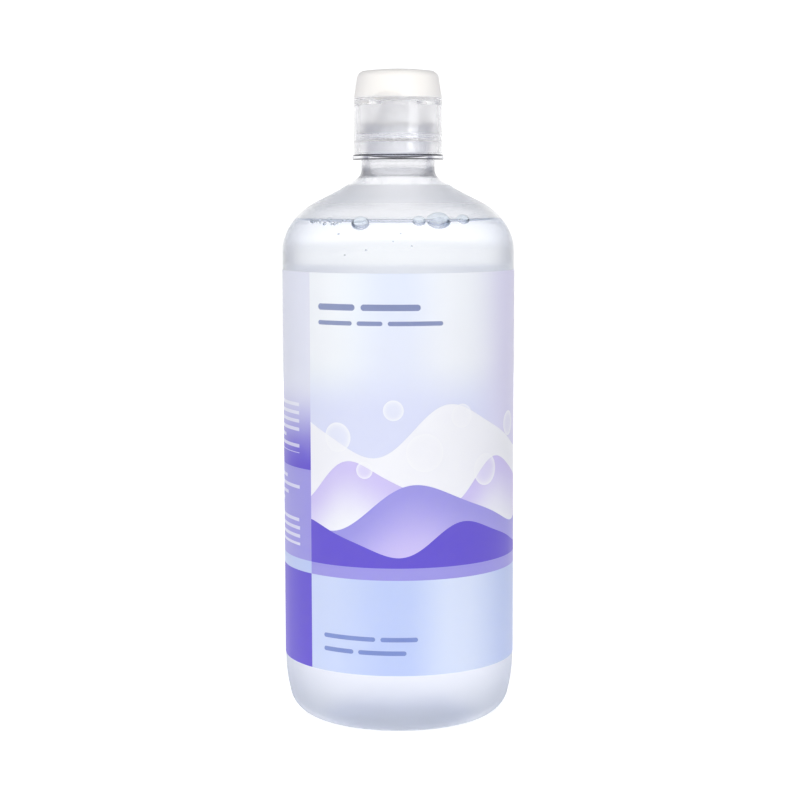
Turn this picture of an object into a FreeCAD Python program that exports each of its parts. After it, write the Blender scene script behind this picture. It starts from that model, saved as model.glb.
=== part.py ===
import FreeCAD, Part

import math
import os

# A 500 ml contact lens solution bottle with a flip-top dispensing closure, in millimetres.
# Z is the bottle's axis, and the origin is the centre of the ring that it stands on.
# The lid's thumb tab faces -Y and its living hinge is at +Y.

# Bottle body
BODY_DIAMETER = 68.0
BODY_WALL = 0.5
BODY_CORNER_HEIGHT = 146.5
SHOULDER_RADIUS = 15.7
SHOULDER_LOWER_SLOPE = math.radians(27.6)
SHOULDER_UPPER_SLOPE = math.radians(35.0)
SHOULDER_BREAK = 6.3
SHOULDER_BREAK_RADIUS = 40.0

# Bottle base
BASE_WALL = 1.0
DRAW_IN_ANGLE = math.radians(14.5)
DRAW_IN_RADIUS = 44.0
FOOT_CORNER_RADIUS = 8.0
FOOT_WIDTH = 2.8
FOOT_INNER_RADIUS = 2.0
PUSH_UP_HEIGHT = 6.0
PUSH_UP_FLAT_DIAMETER = 24.0
PUSH_UP_RADIUS = 18.0
GATE_DIAMETER = 5.0
GATE_HEIGHT = 0.6

# Bottle neck and its snap finish
NECK_BORE_DIAMETER = 17.6
NECK_WALL = 1.93
NECK_LENGTH = 4.3
NECK_FILLET = 3.0
SUPPORT_RING_THICKNESS = 1.6
SUPPORT_RING_OVERHANG = 0.35
SUPPORT_RING_ROUND = 0.35
FINISH_HEIGHT = 8.2
FINISH_INSET = 0.45
SNAP_BEAD_PROUD = 0.72
SNAP_BEAD_HEIGHT = 1.9
SNAP_BEAD_ROUND = 0.4
LIP_ROUND = 0.3

# Solution and label
HEADSPACE = 20.5
SOLUTION_GAP = 0.05
LABEL_THICKNESS = 0.1
LABEL_GLUE = 0.03
LABEL_LOWER_MARGIN = 1.2
LABEL_UPPER_MARGIN = 4.7
LABEL_LAP_WIDTH = 6.0
LABEL_LAP_BEARING = math.radians(60.0)

# Drip nozzle
PLUG_LENGTH = 8.0
PLUG_WALL = 1.0
PLUG_CLEARANCE = 0.12
PLUG_RIB_COUNT = 2
PLUG_RIB_SPACING = 2.6
PLUG_RIB_HEIGHT = 0.8
PLUG_RIB_CLEARANCE = 0.02
FLANGE_THICKNESS = 0.9
FLANGE_INSET = 0.4
TOWER_HEIGHT = 12.2
TOWER_SETBACK = 1.8
TOWER_WALL = 1.1
TIP_DIAMETER = 5.8
TIP_ROUND = 0.5
ORIFICE_DIAMETER = 1.6
SEAT_DIAMETER = 4.0
SEAT_DEPTH = 1.4
ORIFICE_LENGTH = 1.0

# Closure base
SKIRT_WALL = 1.5
SKIRT_GAP = 0.3
SKIRT_ROUND = 0.3
BEAD_CLEARANCE = 0.5
SNAP_RING_CLEARANCE = 0.25
SNAP_RING_HEIGHT = 1.2
SNAP_RING_GAP = 0.15
CLAMP_SKIRT_LENGTH = 5.05
CLAMP_SKIRT_WALL = 1.1
CLAMP_SKIRT_INSET = 0.8
CLAMP_GAP = 0.05
DECK_THICKNESS = 1.3
NOZZLE_CLEARANCE = 0.3
SEAT_STEP = 0.6
RIM_HEIGHT = 0.8
RIM_WIDTH = 0.8
RIM_ROUND = 0.25
SCOOP_RADIUS = 3.2
SCOOP_DEPTH = 0.7
SCOOP_DROP = 1.2

# Flip lid
LID_GAP = 0.12
LID_INSET = 0.12
LID_WALL = 1.2
LID_DRAFT = 1.15
LID_CORNER_RADIUS = 2.4
LID_CROWN = 0.7
LID_CROWN_FLAT_DIAMETER = 8.0
LID_CROWN_RADIUS = 40.0
LID_RIM_CLEARANCE = 0.4
SEAL_PIN_DIAMETER = 2.8
SEAL_PIN_LENGTH = 2.2
SEAL_GAP = 0.12
TAB_RADIUS = 6.0
TAB_PROUD = 1.2
TAB_HEIGHT = 2.4

# Living hinge
HINGE_OFFSET = 0.35
FILM_THICKNESS = 0.3
FILM_WIDTH = 4.5
FILM_SPACING = 3.5
FILM_BOND = 0.7
LAND_HEIGHT = 1.2
LAND_MARGIN = 0.6
LAND_CHAMFER = 0.4
LAND_SINK = 0.8

# Radii that follow from the sizes above
body_radius = BODY_DIAMETER / 2
bore_radius = NECK_BORE_DIAMETER / 2
neck_radius = bore_radius + NECK_WALL
finish_radius = neck_radius - FINISH_INSET
bead_radius = finish_radius + SNAP_BEAD_PROUD
skirt_inner_radius = bead_radius + BEAD_CLEARANCE
skirt_radius = skirt_inner_radius + SKIRT_WALL
support_ring_radius = skirt_radius + SUPPORT_RING_OVERHANG
flange_radius = bead_radius - FLANGE_INSET
plug_radius = bore_radius - PLUG_CLEARANCE
tower_radius = bore_radius - TOWER_SETBACK
tip_radius = TIP_DIAMETER / 2
clamp_outer_radius = flange_radius - CLAMP_SKIRT_INSET
clamp_inner_radius = clamp_outer_radius - CLAMP_SKIRT_WALL
lid_radius = skirt_radius - LID_INSET
lid_inner_radius = lid_radius - LID_WALL
rim_outer_radius = lid_inner_radius - LID_RIM_CLEARANCE
rim_inner_radius = rim_outer_radius - RIM_WIDTH
hinge_y = skirt_radius + HINGE_OFFSET
label_inner_radius = body_radius + LABEL_GLUE
label_outer_radius = label_inner_radius + LABEL_THICKNESS

# Heights that follow from the sizes above
draw_in_top = FOOT_CORNER_RADIUS + (DRAW_IN_RADIUS - FOOT_CORNER_RADIUS) * math.sin(DRAW_IN_ANGLE)
draw_in_corner = draw_in_top - DRAW_IN_RADIUS * math.tan(DRAW_IN_ANGLE / 2)
shoulder_start = BODY_CORNER_HEIGHT - SHOULDER_RADIUS * math.tan(
    (math.pi / 2 - SHOULDER_LOWER_SLOPE) / 2
)
break_radius = neck_radius + SHOULDER_BREAK
break_height = BODY_CORNER_HEIGHT + (body_radius - break_radius) * math.tan(SHOULDER_LOWER_SLOPE)
neck_foot = break_height + SHOULDER_BREAK * math.tan(SHOULDER_UPPER_SLOPE)
ring_bottom = neck_foot + NECK_LENGTH
ring_top = ring_bottom + SUPPORT_RING_THICKNESS
lip = ring_top + FINISH_HEIGHT
bead_bottom = lip - SNAP_BEAD_HEIGHT
plug_bottom = lip - PLUG_LENGTH
fill_level = plug_bottom - HEADSPACE
flange_top = lip + FLANGE_THICKNESS
nozzle_tip = flange_top + TOWER_HEIGHT
clamp_bottom = flange_top + CLAMP_GAP
deck_bottom = clamp_bottom + CLAMP_SKIRT_LENGTH
deck_top = deck_bottom + DECK_THICKNESS
lid_seat = deck_top + SEAT_STEP
lid_bottom = lid_seat + LID_GAP
lid_ceiling = nozzle_tip + SEAL_PIN_LENGTH
lid_top = lid_ceiling + LID_WALL
hinge_z = lid_seat + LID_GAP / 2
label_bottom = draw_in_top + LABEL_LOWER_MARGIN
label_top = shoulder_start - LABEL_UPPER_MARGIN

AXIS = FreeCAD.Vector(0, 0, 1)
ORIGIN = FreeCAD.Vector(0, 0, 0)


def in_section(radius, height):
    """A point of a half section, which lies in the XZ plane."""
    return FreeCAD.Vector(radius, 0, height)


def rounded_corner(before, corner, after, rounding):
    """Where a tangent arc of radius rounding leaves and joins the lines at a corner, and its middle."""
    incoming = (corner - before).normalize()
    outgoing = (after - corner).normalize()
    turn = incoming.getAngle(outgoing)
    tangent = rounding * math.tan(turn / 2)
    inward = (outgoing - incoming).normalize()
    middle = corner + inward * (rounding / math.cos(turn / 2) - rounding)
    return corner - incoming * tangent, middle, corner + outgoing * tangent


def section_face(corners):
    """A closed half section from corners (radius, height) or (radius, height, rounding)."""
    points = [in_section(c[0], c[1]) for c in corners]
    edges = []
    starts = []
    ends = []
    for i, corner in enumerate(corners):
        if len(corner) == 2:
            starts.append(points[i])
            ends.append(points[i])
            continue
        after = points[(i + 1) % len(points)]
        start, middle, end = rounded_corner(points[i - 1], points[i], after, corner[2])
        edges.append(Part.Arc(start, middle, end).toShape())
        starts.append(start)
        ends.append(end)
    for i, end in enumerate(ends):
        next_start = starts[(i + 1) % len(starts)]
        if end.distanceToPoint(next_start) > 1e-6:
            edges.append(Part.LineSegment(end, next_start).toShape())
    return Part.Face(Part.Wire(Part.__sortEdges__(edges)))


def turned(corners):
    """The solid of revolution of a closed half section."""
    return section_face(corners).revolve(ORIGIN, AXIS, 360)


def across(profile, width):
    """A prism of a closed YZ profile, centred on X = 0."""
    points = [FreeCAD.Vector(-width / 2, y, z) for y, z in profile]
    face = Part.Face(Part.makePolygon(points + points[:1]))
    return face.extrude(FreeCAD.Vector(width, 0, 0))


def bottle_outline():
    """The bottle's outer corners, from the middle of its base up to the foot of its neck."""
    foot_turn = math.pi / 2 - DRAW_IN_ANGLE
    foot_corner = body_radius - draw_in_corner * math.tan(DRAW_IN_ANGLE)
    foot_inner = foot_corner - FOOT_CORNER_RADIUS * math.tan(foot_turn / 2) - FOOT_WIDTH
    return [
        (0, PUSH_UP_HEIGHT),
        (PUSH_UP_FLAT_DIAMETER / 2, PUSH_UP_HEIGHT, PUSH_UP_RADIUS),
        (foot_inner, 0, FOOT_INNER_RADIUS),
        (foot_corner, 0, FOOT_CORNER_RADIUS),
        (body_radius, draw_in_corner, DRAW_IN_RADIUS),
        (body_radius, BODY_CORNER_HEIGHT, SHOULDER_RADIUS),
        (break_radius, break_height, SHOULDER_BREAK_RADIUS),
        (neck_radius, neck_foot, NECK_FILLET),
    ]


def inside_of(outline, walls, top):
    """The outline moved inward by the wall of each of its lines, with the last line rising to top."""
    points = [in_section(c[0], c[1]) for c in outline]
    points.append(in_section(outline[-1][0], top))
    lines = []
    for i, wall in enumerate(walls):
        along = (points[i + 1] - points[i]).normalize()
        inward = FreeCAD.Vector(-along.z, 0, along.x)
        lines.append((points[i] + inward * wall, along))
    moved = [(0, lines[0][0].z)]
    for i in range(1, len(outline)):
        (start, along), (other, other_along) = lines[i - 1], lines[i]
        turn = along.x * other_along.z - along.z * other_along.x
        gap = other - start
        distance = (gap.x * other_along.z - gap.z * other_along.x) / turn
        corner = start + along * distance
        thinner = math.copysign(max(walls[i - 1], walls[i]), turn)
        moved.append((corner.x, corner.z, outline[i][2] - thinner))
    moved.append((lines[-1][0].x, top))
    return moved


def cavity_corners(gap, top):
    """The bottle's inside, from the middle of its base up its bore to top, less a gap to the wall."""
    base_lines = [BASE_WALL + gap] * 3
    body_lines = [BODY_WALL + gap] * 4
    return inside_of(bottle_outline(), base_lines + body_lines + [NECK_WALL + gap], top)


def make_bottle():
    """Blow-moulded bottle: push-up base, body, shoulder, support ring and a neck with a snap bead."""
    finish = [
        (neck_radius, ring_bottom),
        (support_ring_radius, ring_bottom, SUPPORT_RING_ROUND),
        (support_ring_radius, ring_top, SUPPORT_RING_ROUND),
        (finish_radius, ring_top),
        (finish_radius, bead_bottom - SNAP_BEAD_PROUD),
        (bead_radius, bead_bottom, SNAP_BEAD_ROUND),
        (bead_radius, lip, SNAP_BEAD_ROUND),
        (bore_radius, lip, LIP_ROUND),
    ]
    inside = cavity_corners(0, lip)[:-1]
    bottle = turned(bottle_outline() + finish + inside[::-1])
    gate_bottom = PUSH_UP_HEIGHT - GATE_HEIGHT
    gate_height = GATE_HEIGHT + BASE_WALL / 2
    gate = Part.makeCylinder(GATE_DIAMETER / 2, gate_height, in_section(0, gate_bottom))
    return bottle.fuse(gate).removeSplitter()


def make_solution():
    """The solution, which fills the bottle up to the fill level."""
    cavity = turned(cavity_corners(SOLUTION_GAP, lip) + [(0, lip)])
    return cavity.common(Part.makeCylinder(BODY_DIAMETER, fill_level))


def make_label():
    """Wrap-round film label with a lap at the back."""
    height = label_top - label_bottom
    base = in_section(0, label_bottom)
    sleeve = Part.makeCylinder(label_outer_radius, height, base)
    sleeve = sleeve.cut(Part.makeCylinder(label_inner_radius, height, base))
    lap_corners = [
        (label_inner_radius, label_bottom),
        (label_outer_radius + LABEL_THICKNESS, label_bottom),
        (label_outer_radius + LABEL_THICKNESS, label_top),
        (label_inner_radius, label_top),
    ]
    lap_angle = math.degrees(LABEL_LAP_WIDTH / label_outer_radius)
    lap = section_face(lap_corners).revolve(ORIGIN, AXIS, lap_angle)
    lap.rotate(ORIGIN, AXIS, math.degrees(LABEL_LAP_BEARING) - lap_angle / 2)
    return sleeve.fuse(lap).removeSplitter()


def tower_radius_at(height):
    """The outer radius of the nozzle's tapered tower at a height."""
    share = (height - flange_top) / TOWER_HEIGHT
    return tower_radius + (tip_radius - tower_radius) * share


def make_drip_nozzle():
    """Plug with sealing ribs in the neck, a flange on the lip and a tapered tower with the orifice."""
    orifice_radius = ORIFICE_DIAMETER / 2
    seat_bottom = nozzle_tip - SEAT_DEPTH
    throat = seat_bottom - ORIFICE_LENGTH
    plug_inner_radius = plug_radius - PLUG_WALL
    nozzle = turned([
        (plug_inner_radius, plug_bottom),
        (plug_radius, plug_bottom, PLUG_CLEARANCE),
        (plug_radius, lip),
        (flange_radius, lip),
        (flange_radius, flange_top),
        (tower_radius, flange_top),
        (tip_radius, nozzle_tip, TIP_ROUND),
        (SEAT_DIAMETER / 2, nozzle_tip),
        (orifice_radius, seat_bottom),
        (orifice_radius, throat),
        (tower_radius_at(throat) - TOWER_WALL, throat),
        (tower_radius - TOWER_WALL, flange_top),
        (plug_inner_radius, lip - PLUG_WALL),
    ])
    for i in range(PLUG_RIB_COUNT):
        rib_middle = lip - PLUG_RIB_SPACING * (i + 1)
        nozzle = nozzle.fuse(turned([
            (plug_radius - PLUG_WALL / 2, rib_middle - PLUG_RIB_HEIGHT / 2),
            (plug_radius, rib_middle - PLUG_RIB_HEIGHT / 2),
            (bore_radius - PLUG_RIB_CLEARANCE, rib_middle),
            (plug_radius, rib_middle + PLUG_RIB_HEIGHT / 2),
            (plug_radius - PLUG_WALL / 2, rib_middle + PLUG_RIB_HEIGHT / 2),
        ]))
    return nozzle.removeSplitter()


def hinge_land(face_z, away):
    """Block at the back of the base (away = -1) or lid (away = 1), which carries the hinge films."""
    wall = skirt_radius - LAND_SINK
    back = hinge_y - FILM_THICKNESS / 2
    profile = [
        (wall, face_z),
        (back - LAND_CHAMFER, face_z),
        (back, face_z + away * LAND_CHAMFER),
        (back, face_z + away * LAND_HEIGHT),
        (wall, face_z + away * (LAND_HEIGHT + back - wall)),
    ]
    return across(profile, 2 * FILM_WIDTH + FILM_SPACING + 2 * LAND_MARGIN)


def make_closure_base():
    """Snap-fit closure base: skirt and snap ring, clamp skirt on the nozzle's flange, deck and lid rim."""
    skirt_bottom = ring_top + SKIRT_GAP
    snap_top = bead_bottom - SNAP_BEAD_PROUD / 2 - SNAP_RING_GAP
    snap_radius = finish_radius + SNAP_RING_CLEARANCE
    snap_reach = skirt_inner_radius - snap_radius
    hole_radius = tower_radius_at(deck_bottom) + NOZZLE_CLEARANCE
    base = turned([
        (skirt_radius, skirt_bottom, SKIRT_ROUND),
        (skirt_radius, lid_seat, SKIRT_ROUND),
        (rim_outer_radius, lid_seat),
        (rim_outer_radius, lid_seat + RIM_HEIGHT, RIM_ROUND),
        (rim_inner_radius, lid_seat + RIM_HEIGHT, RIM_ROUND),
        (rim_inner_radius, deck_top, RIM_ROUND),
        (hole_radius, deck_top, RIM_ROUND),
        (hole_radius, deck_bottom),
        (clamp_inner_radius, deck_bottom),
        (clamp_inner_radius, clamp_bottom),
        (clamp_outer_radius, clamp_bottom),
        (clamp_outer_radius, deck_bottom),
        (skirt_inner_radius, deck_bottom),
        (skirt_inner_radius, snap_top),
        (snap_radius, snap_top - snap_reach / 2),
        (snap_radius, snap_top - SNAP_RING_HEIGHT),
        (skirt_inner_radius, snap_top - SNAP_RING_HEIGHT - snap_reach),
        (skirt_inner_radius, skirt_bottom, SKIRT_ROUND),
    ])
    scoop_y = -(skirt_radius - SCOOP_DEPTH + SCOOP_RADIUS)
    scoop_start = FreeCAD.Vector(-skirt_radius, scoop_y, lid_seat - SCOOP_DROP)
    scoop = Part.makeCylinder(SCOOP_RADIUS, 2 * skirt_radius, scoop_start, FreeCAD.Vector(1, 0, 0))
    return base.fuse(hinge_land(lid_seat, -1)).cut(scoop).removeSplitter()


def make_flip_lid():
    """Domed hollow lid with a seal pin, a thumb tab at the front and a hinge land at the back."""
    upper_radius = lid_radius - LID_DRAFT
    corner_height = lid_top - LID_CROWN
    shell = turned([
        (0, lid_bottom),
        (lid_radius, lid_bottom),
        (upper_radius, corner_height, LID_CORNER_RADIUS),
        (LID_CROWN_FLAT_DIAMETER / 2, lid_top, LID_CROWN_RADIUS),
        (0, lid_top),
    ])
    tab_foot = FreeCAD.Vector(0, TAB_RADIUS - TAB_PROUD - lid_radius, lid_bottom)
    tab_upper_radius = TAB_RADIUS - TAB_PROUD - LID_DRAFT
    tab = Part.makeCone(TAB_RADIUS, tab_upper_radius, TAB_HEIGHT, tab_foot)
    hollow = turned([
        (0, lid_bottom),
        (lid_inner_radius, lid_bottom),
        (upper_radius - LID_WALL, lid_ceiling, LID_CORNER_RADIUS - LID_WALL),
        (0, lid_ceiling),
    ])
    shell = shell.fuse([tab, hinge_land(lid_bottom, 1)]).cut(hollow)
    return shell.fuse(make_seal_pin()).removeSplitter()


def make_seal_pin():
    """Round-ended pin under the lid, which stops the gap of the seal above the orifice's conical seat."""
    pin_radius = SEAL_PIN_DIAMETER / 2
    seat_slope = math.atan2((SEAT_DIAMETER - ORIFICE_DIAMETER) / 2, SEAT_DEPTH)
    seat_apex = nozzle_tip - SEAT_DIAMETER / 2 / math.tan(seat_slope)
    end_centre = seat_apex + (pin_radius + SEAL_GAP) / math.sin(seat_slope)
    height = lid_ceiling + LID_WALL / 2 - end_centre
    stem = Part.makeCylinder(pin_radius, height, in_section(0, end_centre))
    return stem.fuse(Part.makeSphere(pin_radius, in_section(0, end_centre)))


def make_living_hinge():
    """Two thin films across the parting line, on the backs of the two hinge lands."""
    bottom = lid_seat - LAND_CHAMFER - FILM_BOND
    top = lid_bottom + LAND_CHAMFER + FILM_BOND
    films = []
    for side in (-1, 1):
        middle = side * (FILM_SPACING + FILM_WIDTH) / 2
        corner = FreeCAD.Vector(middle - FILM_WIDTH / 2, hinge_y - FILM_THICKNESS / 2, bottom)
        films.append(Part.makeBox(FILM_WIDTH, FILM_THICKNESS, top - bottom, corner))
    return Part.makeCompound(films)


def main():
    pieces = {
        "bottle": make_bottle(),
        "solution": make_solution(),
        "label": make_label(),
        "drip_nozzle": make_drip_nozzle(),
        "closure_base": make_closure_base(),
        "flip_lid": make_flip_lid(),
        "living_hinge": make_living_hinge(),
    }
    os.makedirs("parts", exist_ok=True)
    for name, shape in pieces.items():
        shape.exportStep(f"parts/{name}.step")
        box = shape.BoundBox
        print(
            f"{name}: valid {shape.isValid()}, solids {len(shape.Solids)}, "
            f"volume {shape.Volume:.1f} mm3, z {box.ZMin:.2f} to {box.ZMax:.2f}"
        )
    print(f"fill level {fill_level:.2f}, solution {pieces['solution'].Volume / 1000:.1f} ml")
    print(f"hinge axis y {hinge_y:.3f}, z {hinge_z:.3f}; lid top {lid_top:.2f}")


main()
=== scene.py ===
import math
import random

import bmesh
import bpy
from mathutils import Matrix, Vector


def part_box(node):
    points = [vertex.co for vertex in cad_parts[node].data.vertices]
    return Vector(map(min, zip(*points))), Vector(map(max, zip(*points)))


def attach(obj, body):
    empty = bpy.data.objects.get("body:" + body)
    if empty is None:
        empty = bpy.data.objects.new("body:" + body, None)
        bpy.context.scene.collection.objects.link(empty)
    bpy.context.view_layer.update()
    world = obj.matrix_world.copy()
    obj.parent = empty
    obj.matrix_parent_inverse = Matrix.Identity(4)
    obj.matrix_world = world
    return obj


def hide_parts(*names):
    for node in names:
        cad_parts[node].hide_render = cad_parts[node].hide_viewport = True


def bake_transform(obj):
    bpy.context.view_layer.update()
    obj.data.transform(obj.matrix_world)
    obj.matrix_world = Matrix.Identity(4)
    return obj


# A contact lens solution bottle on a white studio sweep.
# Sizes are in millimetres, and MM turns them into the frame's metres.
# A bearing is an angle round the bottle from its front, -Y, towards +X.
MM = 0.001

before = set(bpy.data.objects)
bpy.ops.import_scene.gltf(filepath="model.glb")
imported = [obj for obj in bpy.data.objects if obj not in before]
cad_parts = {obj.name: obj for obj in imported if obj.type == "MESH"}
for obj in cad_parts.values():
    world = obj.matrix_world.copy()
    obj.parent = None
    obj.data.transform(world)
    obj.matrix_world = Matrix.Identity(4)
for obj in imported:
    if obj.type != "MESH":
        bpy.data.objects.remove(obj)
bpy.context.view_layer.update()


def extent(node):
    """The lowest and highest corners of a node of the frame, in millimetres."""
    low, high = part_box(node)
    return low / MM, high / MM


# Places and radii that the frame gives
body_radius = extent("bottle")[1].x
lip = extent("bottle")[1].z
fill_level = extent("solution")[1].z
label_bottom = extent("label")[0].z
label_top = extent("label")[1].z
plug_bottom = extent("drip_nozzle")[0].z
nozzle_tip = extent("drip_nozzle")[1].z
flange_radius = extent("drip_nozzle")[1].x
skirt_bottom = extent("closure_base")[0].z
skirt_radius = extent("closure_base")[1].x
rim_top = extent("closure_base")[1].z
lid_bottom = extent("flip_lid")[0].z
lid_top = extent("flip_lid")[1].z
lid_radius = extent("flip_lid")[1].x
film_low, film_high = extent("living_hinge")

# Camera
CAMERA_DISTANCE = 561.15
CAMERA_HEIGHT = 154.2
CAMERA_BEARING = math.radians(13.5)
CAMERA_PITCH = math.radians(6.19)
CAMERA_TRIM = math.radians(0.042)
CAMERA_ROLL = math.radians(0.14)
CAMERA_LENS = 85.46
CAMERA_SENSOR = 36.0

# Bottle body and base
BODY_WALL = 0.5
SHOULDER_FOOT = 142.0
SHOULDER_FOOT_RADIUS = 14.0
SHOULDER_BEND_INSET = 5.4
SHOULDER_BEND_HEIGHT = 149.75
SHOULDER_BEND_RADIUS = 19.5
SHOULDER_BREAK = 6.3
SHOULDER_BREAK_RADIUS = 40.0
SHOULDER_UPPER_SLOPE = math.radians(34.2)
BASE_WALL = 1.0
DRAW_IN_ANGLE = math.radians(14.5)
DRAW_IN_RADIUS = 44.0
FOOT_CORNER_RADIUS = 8.0
FOOT_WIDTH = 2.8
FOOT_INNER_RADIUS = 2.0
PUSH_UP_HEIGHT = 6.0
PUSH_UP_FLAT_RADIUS = 12.0
PUSH_UP_RADIUS = 18.0
GATE_RADIUS = 2.5
GATE_HEIGHT = 0.6
GATE_ROUND = 0.2

# Bottle neck
BORE_RADIUS = 8.8
NECK_WALL = 1.93
NECK_LENGTH = 4.3
NECK_FILLET = 3.0
SUPPORT_RING_THICKNESS = 1.6
SUPPORT_RING_OVERHANG = 0.35
SUPPORT_RING_ROUND = 0.35
RING_EDGE_SHARE = 0.98
FINISH_HEIGHT = 8.2
FINISH_INSET = 0.45
SNAP_BEAD_PROUD = 0.72
SNAP_BEAD_HEIGHT = 1.9
SNAP_BEAD_ROUND = 0.4
LIP_ROUND = 0.3

# Roughness and tint of the bottle's wall
CLEAR_HAZE = 0.03
BASE_HAZE = 0.35
WALL_HAZE = 0.12
SHOULDER_HAZE = 0.32
COLLAR_HAZE = 0.06
NECK_HAZE = 0.24
WALL_TINT = (0.72, 0.75, 0.86, 1.0)
WALL_TINT_DENSITY = 8.0

# Solution
WALL_WETTING = 0.15
MENISCUS_HEIGHT = 1.7
MENISCUS_REACH = 1.1
MENISCUS_SPAN = 5.0
MENISCUS_STEPS = 14
MENISCUS_SPACING = 1.5
FILM_OF_BUBBLE = 0.12
BUBBLE_WALL_GAP = 0.25
BUBBLE_HALF_DEPTH = 0.36

# Label
LABEL_THICKNESS = 0.1
LABEL_GLUE = 0.03
LABEL_LAP_WIDTH = 6.0
LABEL_LAP_BEARING = math.radians(150.0)
LABEL_RAMP = math.radians(4.0)

# Drip nozzle
PLUG_WALL = 1.0
PLUG_CLEARANCE = 0.12
PLUG_RIB_COUNT = 2
PLUG_RIB_SPACING = 2.6
PLUG_RIB_HEIGHT = 0.8
PLUG_RIB_CLEARANCE = 0.02
FLANGE_THICKNESS = 0.9
FLANGE_ROUND = 0.2
TOWER_SETBACK = 1.8
TOWER_WALL = 1.1
TIP_RADIUS = 2.9
TIP_ROUND = 0.5
ORIFICE_RADIUS = 0.8
SEAT_RADIUS = 2.0
SEAT_DEPTH = 1.4
ORIFICE_LENGTH = 1.0

# Closure base
SKIRT_WALL = 1.5
SKIRT_ROUND = 0.3
SNAP_RING_CLEARANCE = 0.25
SNAP_RING_HEIGHT = 1.2
SNAP_RING_GAP = 0.15
SNAP_RING_ROUND = 0.3
CLAMP_SKIRT_WALL = 1.1
CLAMP_SKIRT_INSET = 0.8
CLAMP_GAP = 0.05
CLAMP_ROUND = 0.15
DECK_THICKNESS = 1.3
NOZZLE_CLEARANCE = 0.3
SEAT_STEP = 0.6
RIM_HEIGHT = 0.8
RIM_WIDTH = 0.8
RIM_ROUND = 0.25
SCOOP_RADIUS = 3.2
SCOOP_DEPTH = 0.7
SCOOP_DROP = 1.2

# Flip lid and living hinge
LID_WALL = 1.2
LID_DRAFT = 1.15
LID_CORNER_RADIUS = 2.4
LID_CROWN = 0.7
LID_CROWN_FLAT_RADIUS = 4.0
LID_CROWN_RADIUS = 40.0
LID_EDGE_ROUND = 0.2
LID_RIM_CLEARANCE = 0.4
SEAL_PIN_RADIUS = 1.4
SEAL_PIN_ROUND = 0.999 * SEAL_PIN_RADIUS
SEAL_GAP = 0.12
TAB_RADIUS = 6.0
TAB_PROUD = 1.2
TAB_HEIGHT = 2.4
TAB_ROWS = 14
TAB_ROWS_TOP = 1.3
TAB_LIMIT = 1.2
TAB_BLEND = 0.25
FILM_SPACING = 3.5
LAND_HEIGHT = 1.2
LAND_MARGIN = 0.6
LAND_CHAMFER = 0.4
LAND_SINK = 0.8
HINGE_ROWS = 16

# Mesh fineness
SEGMENTS = 192
ARC_STEP = math.radians(5.0)
SAME_POINT = 1e-3
SAME_HEIGHT = 1e-2
SAME_VERTEX = 1e-4
SHARP_ANGLE = math.radians(32.0)

# Radii and heights that follow from the sizes above
neck_radius = BORE_RADIUS + NECK_WALL
finish_radius = neck_radius - FINISH_INSET
bead_radius = finish_radius + SNAP_BEAD_PROUD
support_ring_radius = skirt_radius + SUPPORT_RING_OVERHANG
ring_top = lip - FINISH_HEIGHT
ring_bottom = ring_top - SUPPORT_RING_THICKNESS
neck_foot = ring_bottom - NECK_LENGTH
bead_bottom = lip - SNAP_BEAD_HEIGHT
break_radius = neck_radius + SHOULDER_BREAK
break_height = neck_foot - SHOULDER_BREAK * math.tan(SHOULDER_UPPER_SLOPE)
draw_in_top = FOOT_CORNER_RADIUS + (DRAW_IN_RADIUS - FOOT_CORNER_RADIUS) * math.sin(DRAW_IN_ANGLE)
draw_in_corner = draw_in_top - DRAW_IN_RADIUS * math.tan(DRAW_IN_ANGLE / 2)
label_radius = body_radius + LABEL_GLUE + LABEL_THICKNESS
plug_radius = BORE_RADIUS - PLUG_CLEARANCE
tower_radius = BORE_RADIUS - TOWER_SETBACK
flange_top = lip + FLANGE_THICKNESS
lid_seat = rim_top - RIM_HEIGHT
deck_top = lid_seat - SEAT_STEP
deck_bottom = deck_top - DECK_THICKNESS
lid_ceiling = lid_top - LID_WALL

# Zones of mould haze above the base: where each starts, where it is full, and its roughness
HAZE_ZONES = [
    (label_bottom, label_top, WALL_HAZE),
    (fill_level + 2.5, fill_level + 9.0, SHOULDER_HAZE),
    (neck_foot - 3.2, neck_foot - 2.4, COLLAR_HAZE),
    (neck_foot - 0.8, neck_foot + 1.0, NECK_HAZE),
]
BASE_TINT_ZONE = (label_bottom + 3.0, label_bottom - 5.0)


def srgb(red, green, blue):
    """A colour given as it shows on screen, 0 to 255, as linear red, green, blue and alpha."""
    parts = [c / 255 for c in (red, green, blue)]
    return (*[c / 12.92 if c <= 0.04045 else ((c + 0.055) / 1.055) ** 2.4 for c in parts], 1.0)


def at_bearing(bearing, radius, height):
    """A point of the frame, in metres."""
    return Vector((radius * math.sin(bearing), -radius * math.cos(bearing), height)) * MM


# Outlines and meshes

def arc_of(before, corner, after, rounding):
    """Points of the tangent arc that rounds a corner between two lines."""
    incoming = (corner - before).normalized()
    outgoing = (after - corner).normalized()
    turn = incoming.angle_signed(outgoing)
    tangent = rounding * math.tan(abs(turn) / 2)
    start = corner - incoming * tangent
    side = math.copysign(1, turn)
    centre = start + Vector((incoming.y, -incoming.x)) * rounding * side
    steps = max(2, math.ceil(abs(turn) / ARC_STEP))
    return [centre + Matrix.Rotation(-turn * i / steps, 2) @ (start - centre) for i in range(steps + 1)]


def rounded(corners, closed):
    """An outline of points from corners (radius, height) or (radius, height, rounding)."""
    points = [Vector(c[:2]) for c in corners]
    outline = []
    for i, corner in enumerate(corners):
        ends = not closed and i in (0, len(corners) - 1)
        if len(corner) == 2 or ends:
            outline.append(points[i])
        else:
            after = points[(i + 1) % len(points)]
            outline += arc_of(points[i - 1], points[i], after, corner[2])
    apart = outline[:1]
    for point in outline[1:]:
        if (point - apart[-1]).length > SAME_POINT:
            apart.append(point)
    return apart


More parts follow.
